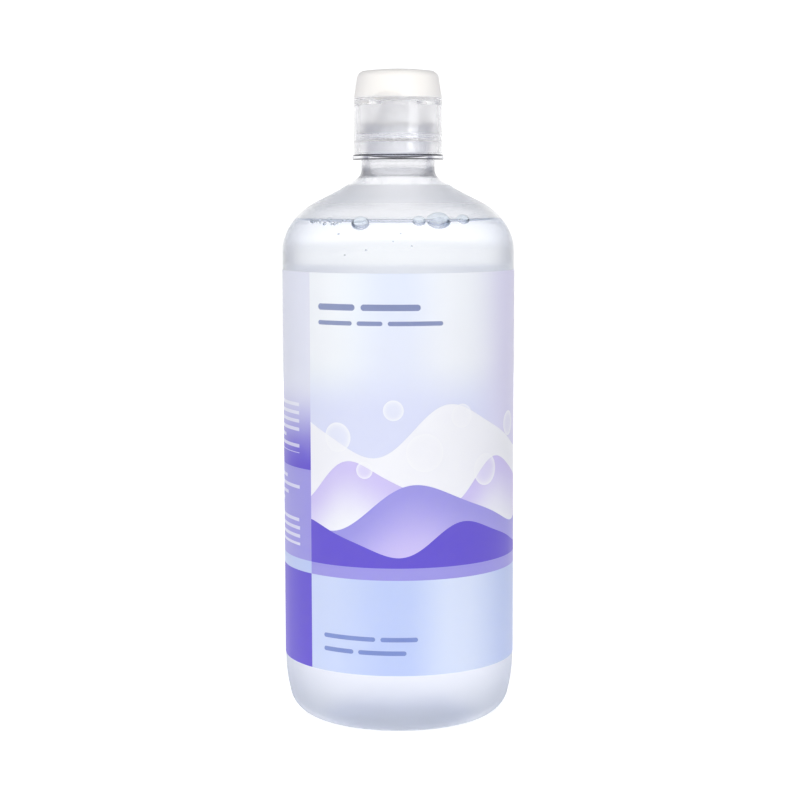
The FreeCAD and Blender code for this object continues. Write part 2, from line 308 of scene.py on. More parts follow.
def linked(name, data):
    """A new object in the scene."""
    thing = bpy.data.objects.new(name, data)
    bpy.context.scene.collection.objects.link(thing)
    return thing


def mesh_object(name, places, faces):
    """A new object of a mesh, shaded smooth between its sharp edges."""
    mesh = bpy.data.meshes.new(name)
    mesh.from_pydata(places, [], faces)
    work = bmesh.new()
    work.from_mesh(mesh)
    bmesh.ops.remove_doubles(work, verts=work.verts, dist=SAME_VERTEX * MM)
    bmesh.ops.recalc_face_normals(work, faces=work.faces)
    work.to_mesh(mesh)
    work.free()
    piece = linked(name, mesh)
    shade(piece)
    return piece


def shade(piece):
    """Smooth shading, with edges sharper than the limit left crisp."""
    piece.data.shade_smooth()
    piece.data.set_sharp_from_angle(angle=SHARP_ANGLE)


def turned(name, outline, closed, reach=None):
    """An outline turned round Z. reach, if given, says how far a point goes out at each bearing."""
    places = []
    rings = []
    for radius, height in outline:
        ring = []
        for i in range(SEGMENTS if radius > 0 else 1):
            bearing = 2 * math.pi * i / SEGMENTS
            ring.append(len(places))
            out = reach(bearing, radius, height) if reach else radius
            places.append(at_bearing(bearing, out, height))
        rings.append(ring)
    if closed:
        rings.append(rings[0])
    faces = []
    for lower, upper in zip(rings, rings[1:]):
        for i in range(SEGMENTS):
            j = (i + 1) % SEGMENTS
            corners = [lower[i % len(lower)], lower[j % len(lower)]]
            corners += [upper[j % len(upper)], upper[i % len(upper)]]
            faces.append(list(dict.fromkeys(corners)))
    return mesh_object(name, places, faces)


def across(name, profile, width):
    """A prism of a closed profile of (y, z), centred on X = 0."""
    count = len(profile)
    places = []
    for x in (-width / 2, width / 2):
        places += [Vector((x, y, z)) * MM for y, z in profile]
    faces = [list(range(count)), list(range(2 * count - 1, count - 1, -1))]
    for i in range(count):
        j = (i + 1) % count
        faces.append([i, i + count, j + count, j])
    return mesh_object(name, places, faces)


def combine(piece, other, operation):
    """Join other to a piece, or cut it out of the piece, and delete other."""
    modifier = piece.modifiers.new(operation, "BOOLEAN")
    modifier.operation = operation
    modifier.solver = "MANIFOLD"
    modifier.object = other
    evaluated = piece.evaluated_get(bpy.context.evaluated_depsgraph_get())
    mesh = bpy.data.meshes.new_from_object(evaluated)
    piece.modifiers.clear()
    piece.data = mesh
    bpy.data.objects.remove(other)
    shade(piece)


# Node trees

class Nodes:
    """A node tree, with short calls for the nodes that the finishes and the studio are made of."""

    def __init__(self, tree):
        self.tree = tree

    def new(self, kind, **settings):
        node = self.tree.nodes.new(kind)
        for name, value in settings.items():
            setattr(node, name, value)
        return node

    def put(self, socket, value):
        """Feed a socket from another node, or set it to a plain value."""
        if isinstance(value, bpy.types.NodeSocket):
            self.tree.links.new(value, socket)
        else:
            socket.default_value = value

    def worked(self, kind, operation, values):
        """The outputs of a node that works something out from some values."""
        node = self.new(kind, operation=operation)
        for socket, value in zip(node.inputs, values):
            self.put(socket, value)
        return node.outputs

    def maths(self, operation, *values):
        return self.worked("ShaderNodeMath", operation, values)[0]

    def times(self, first, second):
        return self.maths("MULTIPLY", first, second)

    def vectors(self, operation, *values):
        return self.worked("ShaderNodeVectorMath", operation, values)

    def parts(self, vector):
        """The x, y and z of a vector."""
        node = self.new("ShaderNodeSeparateXYZ")
        self.put(node.inputs[0], vector)
        return node.outputs

    def ramp(self, value, start, end):
        """0 before start, 1 after end and a smooth rise between them."""
        node = self.new("ShaderNodeMapRange", interpolation_type="SMOOTHSTEP")
        self.put(node.inputs["Value"], value)
        node.inputs["From Min"].default_value = start
        node.inputs["From Max"].default_value = end
        return node.outputs[0]

    def between(self, value, low, high):
        """1 from low to high, and 0 elsewhere."""
        above = self.maths("GREATER_THAN", value, low)
        below = self.maths("LESS_THAN", value, high)
        return self.times(above, below)

    def mix(self, share, under, over):
        node = self.new("ShaderNodeMix", data_type="RGBA")
        self.put(node.inputs[0], share)
        self.put(node.inputs[6], under)
        self.put(node.inputs[7], over)
        return node.outputs[2]

    def noise(self, scale, detail):
        """Noise of the given number of cells to a metre."""
        node = self.new("ShaderNodeTexNoise")
        self.put(node.inputs["Vector"], self.new("ShaderNodeTexCoord").outputs["Object"])
        node.inputs["Scale"].default_value = scale
        node.inputs["Detail"].default_value = detail
        return node.outputs[0]

    def bump(self, height, depth):
        """A normal for a height of 0 to 1 that stands for a depth in millimetres."""
        node = self.new("ShaderNodeBump")
        node.inputs["Strength"].default_value = 1.0
        node.inputs["Distance"].default_value = depth * MM
        self.put(node.inputs["Height"], height)
        return node.outputs[0]


def plastic(name, colour, roughness, ior, clear=0.0):
    """A material with a plain moulded plastic, and its nodes for more detail."""
    material = bpy.data.materials.new(name)
    material.use_nodes = True
    surface = material.node_tree.nodes["Principled BSDF"]
    surface.inputs["Base Color"].default_value = colour
    surface.inputs["Roughness"].default_value = roughness
    surface.inputs["IOR"].default_value = ior
    surface.inputs["Transmission Weight"].default_value = clear
    return material, surface, Nodes(material.node_tree)


def soften(surface, depth):
    """Let light wander a depth in millimetres below the surface, and through thin walls."""
    surface.inputs["Subsurface Weight"].default_value = 1.0
    surface.inputs["Subsurface Radius"].default_value = (1.0, 1.0, 1.0)
    surface.inputs["Subsurface Scale"].default_value = depth * MM


def grain(surface, nodes, scale, detail, depth):
    """Give a surface a bump of noise: cells to a metre, octaves of detail, and depth in millimetres."""
    nodes.put(surface.inputs["Normal"], nodes.bump(nodes.noise(scale, detail), depth))


# Finishes

COLOURLESS = srgb(255, 255, 255)
PALE_BLUE = srgb(250, 253, 255)
WARM_WHITE = srgb(244, 241, 236)
MILKY = srgb(248, 248, 250)
CLEAR_POLYESTER = srgb(254, 254, 255)
BACKING_HIGH = srgb(253, 253, 254)
BACKING_LOW = srgb(192, 195, 241)
BASE_POLYESTER = srgb(252, 252, 255)
# Painted shade: near black on the support ring's rounded edges, in place of the dark lines that refraction
# of the surroundings draws there
RING_EDGE_PAINTED_SHADE = srgb(14, 14, 18)
# Share of painted shade that darkens the snap bead into a dark band under the closure
LIP_PAINTED_SHADE = 0.2


def bottle_finish():
    """Blown polyester, clear inside and at the finish, with the haze of its mould outside and painted
    shade on marked rows of the finish.
    """
    material, surface, nodes = plastic("polyester", CLEAR_POLYESTER, CLEAR_HAZE, ior=1.57, clear=1.0)
    height_m = nodes.parts(nodes.new("ShaderNodeTexCoord").outputs["Object"])[2]
    height = nodes.maths("DIVIDE", height_m, MM)
    haze = BASE_HAZE
    below = BASE_HAZE
    for start, end, above in HAZE_ZONES:
        haze = nodes.maths("MULTIPLY_ADD", nodes.ramp(height, start, end), above - below, haze)
        below = above
    satin = nodes.new("ShaderNodeAttribute", attribute_name="satin").outputs["Fac"]
    haze = nodes.maths("MULTIPLY_ADD", satin, haze, CLEAR_HAZE)
    nodes.put(surface.inputs["Roughness"], haze)
    colour = nodes.mix(nodes.ramp(height, *BASE_TINT_ZONE), CLEAR_POLYESTER, BASE_POLYESTER)
    # Rows marked in the shade attribute get painted shade: near-black support ring edges and a darker snap
    # bead
    dark = nodes.new("ShaderNodeAttribute", attribute_name="shade").outputs["Fac"]
    nodes.put(surface.inputs["Base Color"], nodes.mix(dark, colour, RING_EDGE_PAINTED_SHADE))
    grain(surface, nodes, scale=60.0, detail=1.0, depth=0.02)
    absorb = nodes.new("ShaderNodeVolumeAbsorption")
    absorb.inputs["Color"].default_value = WALL_TINT
    absorb.inputs["Density"].default_value = WALL_TINT_DENSITY
    nodes.put(nodes.tree.nodes["Material Output"].inputs["Volume"], absorb.outputs[0])
    return material


def solution_finish():
    """Clear water-thin solution with a breath of blue, and slow swirls that bend the light a little."""
    material, surface, nodes = plastic("clear_solution", PALE_BLUE, roughness=0.0, ior=1.335, clear=1.0)
    grain(surface, nodes, scale=40.0, detail=1.0, depth=0.01)
    return material


def frosted_finish():
    """Frosted polypropylene with a fine spark-eroded grain."""
    material, surface, nodes = plastic("frosted_lid", WARM_WHITE, roughness=0.5, ior=1.49)
    soften(surface, depth=1.2)
    grain(surface, nodes, scale=2200.0, detail=3.0, depth=0.02)
    return material


def closure_finish(name, roughness, scale, depth):
    """Clear polypropylene, glossy outside the closure base and left hazy by the mould inside it."""
    material, surface, nodes = plastic(name, COLOURLESS, roughness, ior=1.49, clear=1.0)
    grain(surface, nodes, scale, detail=2.0, depth=depth)
    return material


def nozzle_finish():
    """Natural polyethylene, milky and soft."""
    material, surface, nodes = plastic("nozzle_plastic", MILKY, roughness=0.4, ior=1.51)
    soften(surface, depth=3.0)
    grain(surface, nodes, scale=900.0, detail=2.0, depth=0.01)
    return material


def label_backing_finish():
    """The label's white inner face, where the darker print below shows through a little."""
    material, surface, nodes = plastic("label_backing", BACKING_HIGH, roughness=0.6, ior=1.5)
    soften(surface, depth=1.0)
    height = nodes.parts(nodes.new("ShaderNodeUVMap", uv_map="wrap").outputs[0])[1]
    up_wall = nodes.ramp(height, BLOCK_TOP, label_top)
    nodes.put(surface.inputs["Base Color"], nodes.mix(up_wall, BACKING_LOW, BACKING_HIGH))
    grain(surface, nodes, scale=1500.0, detail=2.0, depth=0.01)
    return material


# Label print and its painted sheen and shade: places along the wrap are bearings in degrees, and heights
# are in millimetres
FRONT_LEFT = -34.0
FRONT_RIGHT = 112.0
BAND_TOP = 45.7
STRIPE_TOP = 49.2
BLOCK_TOP = 75.7
FADE_TOP = 102.5

PALE_TOP = srgb(222, 228, 243)
PALE = srgb(225, 230, 246)
PALE_LOW = srgb(216, 220, 243)
# Painted sheen of the lights on the front, left of and right of its middle, and painted shade towards its
# right edge
PAINTED_SHEEN_LEFT = srgb(245, 252, 255)
PAINTED_SHADE_RIGHT = srgb(221, 217, 244)
PAINTED_SHEEN_MIDDLE = srgb(239, 243, 255)
OFF_WHITE = srgb(246, 247, 252)
LAVENDER = srgb(206, 197, 238)
VIOLET = srgb(163, 158, 221)
PURPLE = srgb(111, 95, 204)
SKY = srgb(191, 203, 237)
# Painted sheen of the lights on the front's sky-blue band
SKY_PAINTED_SHEEN = srgb(213, 222, 245)
WHITE = srgb(252, 253, 255)
INK = srgb(112, 124, 168)
INK_ON_SKY = srgb(112, 132, 190)
PANEL_PALE = srgb(226, 228, 240)

# Painted sheen and shade across the front's ground, and its printed shades up and down: where each starts,
# where it is full, and its share where that isn't all
TOP_RISE = (114.0, 126.0)
LOW_FALL = (110.0, 92.0)
LEFT_SHEEN_FADE = (10.0, -22.0)
LEFT_SHEEN_SHARE = 0.8
LEFT_SKY_SHEEN_SHARE = 0.5
MIDDLE_SHEEN_FADE = (15.0, 40.0)
RIGHT_SHADE_FADE = (45.0, 80.0)
RIGHT_SHADE_SHARE = 0.9

# Waves of the print: middle height, rise, length and shift along the wrap, crest and foot colours
WAVES = [
    (88.0, 7.0, 96.0, 20.0, OFF_WHITE, OFF_WHITE),
    (73.0, 6.0, 78.0, 52.0, LAVENDER, OFF_WHITE),
    (66.0, 6.5, 110.0, 0.0, VIOLET, LAVENDER),
    (57.0, 4.5, 84.0, 30.0, PURPLE, PURPLE),
]
WAVE_FADE = 22.0
RIPPLE_SHARE = 0.2

# Round bubbles of the print: bearing, height and radius
PRINTED_BUBBLES = [
    (-17.0, 86.0, 4.2),
    (-3.0, 77.0, 2.4),
    (11.0, 94.0, 2.9),
    (26.0, 82.0, 5.4),
    (45.0, 92.0, 3.4),
    (60.0, 76.0, 4.6),
    (82.0, 88.0, 3.6),
]
BUBBLE_MIDDLE = 0.25
BUBBLE_RIM = 0.5
BUBBLE_RIM_POWER = 4.0

# Words as plain bars: left and right bearings, foot height and line height
TITLE_WORDS = [
    (-28.0, -7.5, 121.3, 2.9),
    (-4.5, 24.0, 121.3, 2.9),
    (-28.0, -9.0, 117.3, 2.0),
    (-6.5, 6.0, 117.3, 2.0),
    (8.5, 35.0, 117.3, 2.0),
]
NOTE_WORDS = [
    (-25.5, 2.0, 27.6, 2.1),
    (4.5, 22.5, 27.6, 2.1),
    (-25.5, -9.0, 23.7, 2.1),
    (-6.5, 17.0, 23.7, 2.1),
]
BAR_HEIGHT_SHARE = 0.62
BAR_INK_SHARE = 0.8

# Blocks of small print: left and right bearings, lowest and highest height
PRINT_COLUMNS = [
    (-82.0, -43.5, 53.0, 73.0),
    (-82.0, -43.5, 80.0, 96.0),
    (-134.0, -92.0, 24.0, 42.0),
    (-134.0, -92.0, 53.0, 73.0),
    (-134.0, -92.0, 84.0, 124.0),
    (-184.0, -146.0, 53.0, 73.0),
    (-184.0, -146.0, 90.0, 124.0),
]
PRINT_PITCH = 2.4
PRINT_SIZE = 1.0
PRINT_INK_SHARE = 0.6
FULL_ROWS = 0.7
SHORTEST_ROW = 0.2
DARK_ROWS = 40


def on_wrap(bearing):
    """How far along the label's wrap a bearing in degrees is, in millimetres."""
    return math.radians(bearing) * label_radius


def label_finish():
    """Printed satin film: pale top, waves and bubbles, a stripe, a lower band and a side panel, with
    painted sheen and painted shade across the front.
    """
    material, surface, nodes = plastic("label_film", PALE, roughness=0.42, ior=1.5)
    surface.inputs["Specular IOR Level"].default_value = 0.2
    soften(surface, depth=0.2)
    along, height = nodes.parts(nodes.new("ShaderNodeUVMap", uv_map="wrap").outputs[0])[:2]
    front = nodes.between(along, on_wrap(FRONT_LEFT), on_wrap(FRONT_RIGHT))
    colour = nodes.mix(front, side_panel(nodes, along, height), front_panel(nodes, along, height))
    nodes.put(surface.inputs["Base Color"], colour)
    grain(surface, nodes, scale=700.0, detail=2.0, depth=0.006)
    return material


def front_panel(nodes, along, height):
    """The print of the front: pale top, waves with bubbles, a stripe and the lower band, with painted
    sheen and painted shade across the pale ground and the band.
    """
    to_left_sheen = nodes.ramp(along, *map(on_wrap, LEFT_SHEEN_FADE))
    to_middle_sheen = nodes.ramp(along, *map(on_wrap, MIDDLE_SHEEN_FADE))
    to_right_shade = nodes.ramp(along, *map(on_wrap, RIGHT_SHADE_FADE))
    colour = nodes.mix(nodes.ramp(height, *TOP_RISE), PALE, PALE_TOP)
    # Painted sheen left of and right of the middle and painted shade towards the right edge, around the
    # print's paler low ground
    colour = nodes.mix(nodes.times(to_left_sheen, LEFT_SHEEN_SHARE), colour, PAINTED_SHEEN_LEFT)
    colour = nodes.mix(to_middle_sheen, colour, PAINTED_SHEEN_MIDDLE)
    colour = nodes.mix(nodes.ramp(height, *LOW_FALL), colour, PALE_LOW)
    colour = nodes.mix(nodes.times(to_right_shade, RIGHT_SHADE_SHARE), colour, PAINTED_SHADE_RIGHT)
    for middle, swell, length, shift, crest_colour, foot_colour in WAVES:
        crest = wave_crest(nodes, along, middle, swell, length, shift)
        depth = nodes.maths("SUBTRACT", crest, height)
        fill = nodes.mix(nodes.ramp(depth, 0.0, WAVE_FADE), crest_colour, foot_colour)
        colour = nodes.mix(nodes.maths("GREATER_THAN", depth, 0.0), colour, fill)
    for bearing, middle, radius in PRINTED_BUBBLES:
        colour = printed_bubble(nodes, colour, along, height, bearing, middle, radius)
    colour = nodes.mix(nodes.maths("LESS_THAN", height, STRIPE_TOP), colour, VIOLET)
    # Painted sheen on the lower band, falling back to its plain colour towards the right edge
    sky = nodes.mix(nodes.times(to_left_sheen, LEFT_SKY_SHEEN_SHARE), SKY, SKY_PAINTED_SHEEN)
    sky = nodes.mix(to_middle_sheen, sky, SKY_PAINTED_SHEEN)
    sky = nodes.mix(to_right_shade, sky, SKY)
    colour = nodes.mix(nodes.maths("LESS_THAN", height, BAND_TOP), colour, sky)
    for words, ink in ((TITLE_WORDS, INK), (NOTE_WORDS, INK_ON_SKY)):
        for left, right, foot, size in words:
            bar = word_bar(nodes, along, height, left, right, foot, size)
            colour = nodes.mix(nodes.times(bar, BAR_INK_SHARE), colour, ink)
    return colour


def wave_crest(nodes, along, middle, swell, length, shift):
    """The height of a wave's crest: a long swell with a shorter ripple on it."""
    cycle = 2 * math.pi / on_wrap(length)
    phase = nodes.times(nodes.maths("SUBTRACT", along, on_wrap(shift)), cycle)
    ripple = nodes.maths("SINE", nodes.times(phase, 2.0))
    long_part = nodes.times(nodes.maths("SINE", phase), swell)
    short_part = nodes.times(ripple, swell * RIPPLE_SHARE)
    return nodes.maths("ADD", nodes.maths("ADD", long_part, short_part), middle)


def printed_bubble(nodes, colour, along, height, bearing, middle, radius):
    """A round bubble: clear in the middle and paler towards its rim."""
    across_it = nodes.maths("SUBTRACT", along, on_wrap(bearing))
    up_it = nodes.maths("SUBTRACT", height, middle)
    square = nodes.maths("ADD", nodes.maths("POWER", across_it, 2.0), nodes.maths("POWER", up_it, 2.0))
    share = nodes.maths("DIVIDE", nodes.maths("SQRT", square), radius)
    inside = nodes.maths("LESS_THAN", share, 1.0)
    to_rim = nodes.maths("POWER", share, BUBBLE_RIM_POWER)
    paleness = nodes.maths("MULTIPLY_ADD", to_rim, BUBBLE_RIM, BUBBLE_MIDDLE)
    return nodes.mix(nodes.times(inside, paleness), colour, WHITE)


def word_bar(nodes, along, height, left, right, foot, size):
    """A plain bar with round ends in the place of a word."""
    end_radius = size * BAR_HEIGHT_SHARE / 2
    start = on_wrap(left) + end_radius
    end = on_wrap(right) - end_radius
    nearest = nodes.maths("MINIMUM", nodes.maths("MAXIMUM", along, start), end)
    aside = nodes.maths("SUBTRACT", along, nearest)
    above = nodes.maths("SUBTRACT", height, foot + size / 2)
    square = nodes.maths("ADD", nodes.times(aside, aside), nodes.times(above, above))
    return nodes.maths("LESS_THAN", square, end_radius ** 2)


def side_panel(nodes, along, height):
    """The print of the sides and back: colour blocks with rows of small print as plain bars."""
    fade = nodes.ramp(height, BLOCK_TOP, FADE_TOP)
    colour = nodes.mix(fade, PURPLE, PANEL_PALE)
    for top, block in ((BLOCK_TOP, VIOLET), (STRIPE_TOP, SKY), (BAND_TOP, PURPLE)):
        colour = nodes.mix(nodes.maths("LESS_THAN", height, top), colour, block)
    dark_ground = nodes.maths("LESS_THAN", height, DARK_ROWS * PRINT_PITCH)
    ink = nodes.mix(dark_ground, INK, OFF_WHITE)
    for column in PRINT_COLUMNS:
        rows = print_rows(nodes, along, height, *column)
        colour = nodes.mix(nodes.times(rows, PRINT_INK_SHARE), colour, ink)
    return colour


def print_rows(nodes, along, height, left, right, low, high):
    """Rows of bars from a left to a right bearing, some of which end early as a paragraph does."""
    width = on_wrap(right - left)
    row = nodes.maths("FLOOR", nodes.maths("DIVIDE", height, PRINT_PITCH))
    chance = nodes.new("ShaderNodeTexWhiteNoise", noise_dimensions="1D")
    nodes.put(chance.inputs["W"], nodes.maths("ADD", row, left + low))
    share = nodes.maths("MINIMUM", nodes.maths("DIVIDE", chance.outputs["Value"], 1.0 - FULL_ROWS), 1.0)
    reach = nodes.maths("MULTIPLY_ADD", share, width * (1.0 - SHORTEST_ROW), width * SHORTEST_ROW)
    inside = nodes.between(nodes.maths("SUBTRACT", along, on_wrap(left)), 0.0, reach)
    within = nodes.maths("MODULO", height, PRINT_PITCH)
    line = nodes.maths("LESS_THAN", within, PRINT_SIZE)
    block = nodes.between(height, low, high)
    return nodes.times(nodes.times(inside, line), block)


# Pieces

def bottle_corners():
    """The bottle's outer corners, from the middle of its base up to the foot of its neck."""
    foot_turn = math.pi / 2 - DRAW_IN_ANGLE
    foot_corner = body_radius - draw_in_corner * math.tan(DRAW_IN_ANGLE)
    foot_inner = foot_corner - FOOT_CORNER_RADIUS * math.tan(foot_turn / 2) - FOOT_WIDTH
    return [
        (0, PUSH_UP_HEIGHT),
        (PUSH_UP_FLAT_RADIUS, PUSH_UP_HEIGHT, PUSH_UP_RADIUS),
        (foot_inner, 0, FOOT_INNER_RADIUS),
        (foot_corner, 0, FOOT_CORNER_RADIUS),
        (body_radius, draw_in_corner, DRAW_IN_RADIUS),
        (body_radius, SHOULDER_FOOT, SHOULDER_FOOT_RADIUS),
        (body_radius - SHOULDER_BEND_INSET, SHOULDER_BEND_HEIGHT, SHOULDER_BEND_RADIUS),
        (break_radius, break_height, SHOULDER_BREAK_RADIUS),
        (neck_radius, neck_foot, NECK_FILLET),
    ]


def inside_corners(closer, top):
    """The bottle's inner corners, up its bore to top, moved closer to the outside by a distance."""
    outside = bottle_corners()
    points = [Vector(c[:2]) for c in outside]
    points.append(Vector((neck_radius, top)))
    walls = [BASE_WALL - closer] * 3 + [BODY_WALL - closer] * 5 + [NECK_WALL - closer]
    lines = []
    for i, wall in enumerate(walls):
        way = (points[i + 1] - points[i]).normalized()
        lines.append((points[i] + Vector((-way.y, way.x)) * wall, way))
    moved = [(0, lines[0][0].y)]
    for i in range(1, len(outside)):
        (start, way), (other, other_way) = lines[i - 1], lines[i]
        turn = way.cross(other_way)
        corner = start + way * ((other - start).cross(other_way) / turn)
        thinner = math.copysign(max(walls[i - 1], walls[i]), turn)
        moved.append((corner.x, corner.y, outside[i][2] - thinner))
    moved.append((lines[-1][0].x, top))
    return moved


def make_bottle():
    """The clear bottle with its pushed-up base and gate mark, support ring and snap bead."""
    gate_foot = PUSH_UP_HEIGHT - GATE_HEIGHT
    gate = [(0, gate_foot), (GATE_RADIUS, gate_foot, GATE_ROUND), (GATE_RADIUS, PUSH_UP_HEIGHT)]
    finish = [
        (neck_radius, ring_bottom),
        (support_ring_radius, ring_bottom, SUPPORT_RING_ROUND),
        (support_ring_radius, ring_top, SUPPORT_RING_ROUND),
        (finish_radius, ring_top),
        (finish_radius, bead_bottom - SNAP_BEAD_PROUD),
        (bead_radius, bead_bottom, SNAP_BEAD_ROUND),
        (bead_radius, lip, SNAP_BEAD_ROUND),
        (BORE_RADIUS, lip, LIP_ROUND),
    ]
    inside = inside_corners(0, lip)[:-1]
    corners = gate + bottle_corners()[1:] + finish + inside[::-1]
    outline = rounded(corners, False)
    piece = turned("bottle_shell", outline, False)
    piece.data.materials.append(bottle_finish())
    ring_row = next(i for i, point in enumerate(outline) if point.y > ring_bottom - SAME_HEIGHT)
    mark_rows(piece, "satin", range(ring_row), 1.0)
    middles = [(low + high) / 2 for low, high in zip(outline, outline[1:])]
    # Painted shade: the support ring's rounded edges are darkened to near black
    mark_rows(piece, "shade", [i for i, middle in enumerate(middles) if on_ring_edge(middle)], 1.0)
    # Painted shade: the snap bead is darkened a little into a band
    mark_rows(piece, "shade", [i for i, middle in enumerate(middles) if on_bead(middle)], LIP_PAINTED_SHADE)
    return piece


def on_ring_edge(point):
    """Whether a point of the outline is on one of the support ring's two rounded edges."""
    to_edge = min(abs(point.y - ring_top), abs(point.y - ring_bottom))
    return abs(support_ring_radius - point.x) + to_edge < RING_EDGE_SHARE * SUPPORT_RING_ROUND


def on_bead(point):
    """Whether a point of the outline is on the outside of the bead below the lip."""
    return point.x > bead_radius - SNAP_BEAD_ROUND and bead_bottom < point.y < lip


def mark_rows(piece, name, rows, share):
    """Mark whole rows of faces of a turned piece with a share in an attribute that its finish reads."""
    marks = piece.data.attributes.get(name) or piece.data.attributes.new(name, "FLOAT", "FACE")
    for row in rows:
        for i in range(row * SEGMENTS, (row + 1) * SEGMENTS):
            marks.data[i].value = share


def radius_at(outline, height):
    """The radius of a rising outline at a height."""
    for low, high in zip(outline, outline[1:]):
        if low.y <= height <= high.y and low.y < high.y:
            share = (height - low.y) / (high.y - low.y)
            return low.x + (high.x - low.x) * share
    return outline[-1].x


# Bubbles at the front of the surface: bearing in degrees, middle above the level, width and height
SURFACE_BUBBLES = [
    (-7.6, 0.3, 5.3, 4.1),
    (25.0, 1.0, 3.9, 2.9),
    (37.0, 0.9, 7.2, 5.0),
    (52.5, 1.2, 4.2, 3.0),
]
FOAM_COUNT = 15
FOAM_SEED = 11
FOAM_FROM = -42.0
FOAM_TO = -16.0
FOAM_WIDTHS = (0.7, 1.5)
FOAM_HEIGHTS = (0.2, 1.4)
FOAM_TALL = 0.85
# Specks of air on the front wall: bearing in degrees, depth below the level and width
SPECKS = [
    (-17.5, 2.4, 0.8),
    (14.7, 2.2, 0.6),
    (11.0, 4.3, 0.5),
    (-2.0, 6.7, 0.7),
    (20.0, 5.6, 0.6),
    (-13.0, 8.1, 0.6),
]
SPECK_TALL = 0.7


def bubble_list():
    """Every bubble and speck, as bearing, height, width and height of its air."""
    chance = random.Random(FOAM_SEED)
    bubbles = [(b, fill_level + up, width, tall) for b, up, width, tall in SURFACE_BUBBLES]
    for i in range(FOAM_COUNT):
        bearing = FOAM_FROM + (FOAM_TO - FOAM_FROM) * (i + 0.5) / FOAM_COUNT
        width = chance.uniform(*FOAM_WIDTHS)
        bubbles.append((bearing, fill_level + chance.uniform(*FOAM_HEIGHTS), width, width * FOAM_TALL))
    bubbles += [(b, fill_level - down, width, width * SPECK_TALL) for b, down, width in SPECKS]
    return bubbles


def bubble_mesh(name, wall, grow):
    """The bubbles as egg shapes that lie against the wall, each grown by a distance."""
    work = bmesh.new()
    for bearing, height, width, tall in bubble_list():
        depth = width * BUBBLE_HALF_DEPTH
        half = Vector((width / 2 + grow, depth + grow, tall / 2 + grow))
        out = radius_at(wall, height) - depth - BUBBLE_WALL_GAP
        turn = Matrix.Rotation(math.radians(bearing), 4, "Z")
        position = Matrix.Translation(at_bearing(math.radians(bearing), out, height))
        matrix = position @ turn @ Matrix.Diagonal((*half * MM, 1.0))
        bmesh.ops.create_icosphere(work, subdivisions=3, radius=1.0, matrix=matrix)
    mesh = bpy.data.meshes.new(name)
    work.to_mesh(mesh)
    work.free()
    return linked(name, mesh)


def make_solution():
    """The solution up to its level, with a meniscus at the wall, bubbles on it and specks of air in it."""
    brim = fill_level + MENISCUS_HEIGHT
    wall = rounded(inside_corners(WALL_WETTING, lip), False)
    outline = [p for p in wall if p.y < brim]
    edge = radius_at(wall, brim)
    outline.append(Vector((edge, brim)))
    for i in range(1, MENISCUS_STEPS + 1):
        away = MENISCUS_SPAN * MENISCUS_REACH * (i / MENISCUS_STEPS) ** MENISCUS_SPACING
        rise = MENISCUS_HEIGHT * math.exp(-away / MENISCUS_REACH)
        outline.append(Vector((edge - away, fill_level + rise)))
    outline.append(Vector((0, fill_level)))
    piece = turned("solution_fill", outline, False)
    combine(piece, bubble_mesh("bubble_films", wall, FILM_OF_BUBBLE), "UNION")
    combine(piece, bubble_mesh("bubble_air", wall, 0.0), "DIFFERENCE")
    return piece


def make_label():
    """The label: one film wound round the body, with its end lapped over its start."""
    lap = LABEL_LAP_WIDTH / label_radius
    first = LABEL_LAP_BEARING - lap / 2 - 2 * math.pi
    sweep = 2 * math.pi + lap
    columns = SEGMENTS * 2
    places = []
    wraps = []
    for i in range(columns + 1):
        turn = sweep * i / columns
        climb = min(1.0, max(0.0, (turn - 2 * math.pi + LABEL_RAMP) / LABEL_RAMP))
        outer = label_radius + LABEL_THICKNESS * climb
        bearing = first + turn
        for radius in (outer, outer - LABEL_THICKNESS):
            for height in (label_bottom, label_top):
                places.append(at_bearing(bearing, radius, height))
                wraps.append((bearing * label_radius, height))
    faces = []
    for i in range(columns):
        near = range(4 * i, 4 * i + 4)
        far = range(4 * i + 4, 4 * i + 8)
        for j, k in ((0, 1), (3, 2), (1, 3), (2, 0)):
            faces.append([near[j], far[j], far[k], near[k]])
    faces.append([0, 1, 3, 2])
    last = 4 * columns
    faces.append([last + 2, last + 3, last + 1, last])
    mesh = bpy.data.meshes.new("wrap_label")
    mesh.from_pydata(places, [], faces)
    layer = mesh.uv_layers.new(name="wrap")
    for loop in mesh.loops:
        layer.data[loop.index].uv = wraps[loop.vertex_index]
    piece = linked("wrap_label", mesh)
    shade(piece)
    mesh.materials.append(label_finish())
    mesh.materials.append(label_backing_finish())
    for face in mesh.polygons:
        face.material_index = 1 if face.index % 4 == 1 and face.index < 4 * columns else 0
    return piece


def tower_radius_at(height):
    """The outer radius of the nozzle's tapered tower at a height."""
    share = (height - flange_top) / (nozzle_tip - flange_top)
    return tower_radius + (TIP_RADIUS - tower_radius) * share


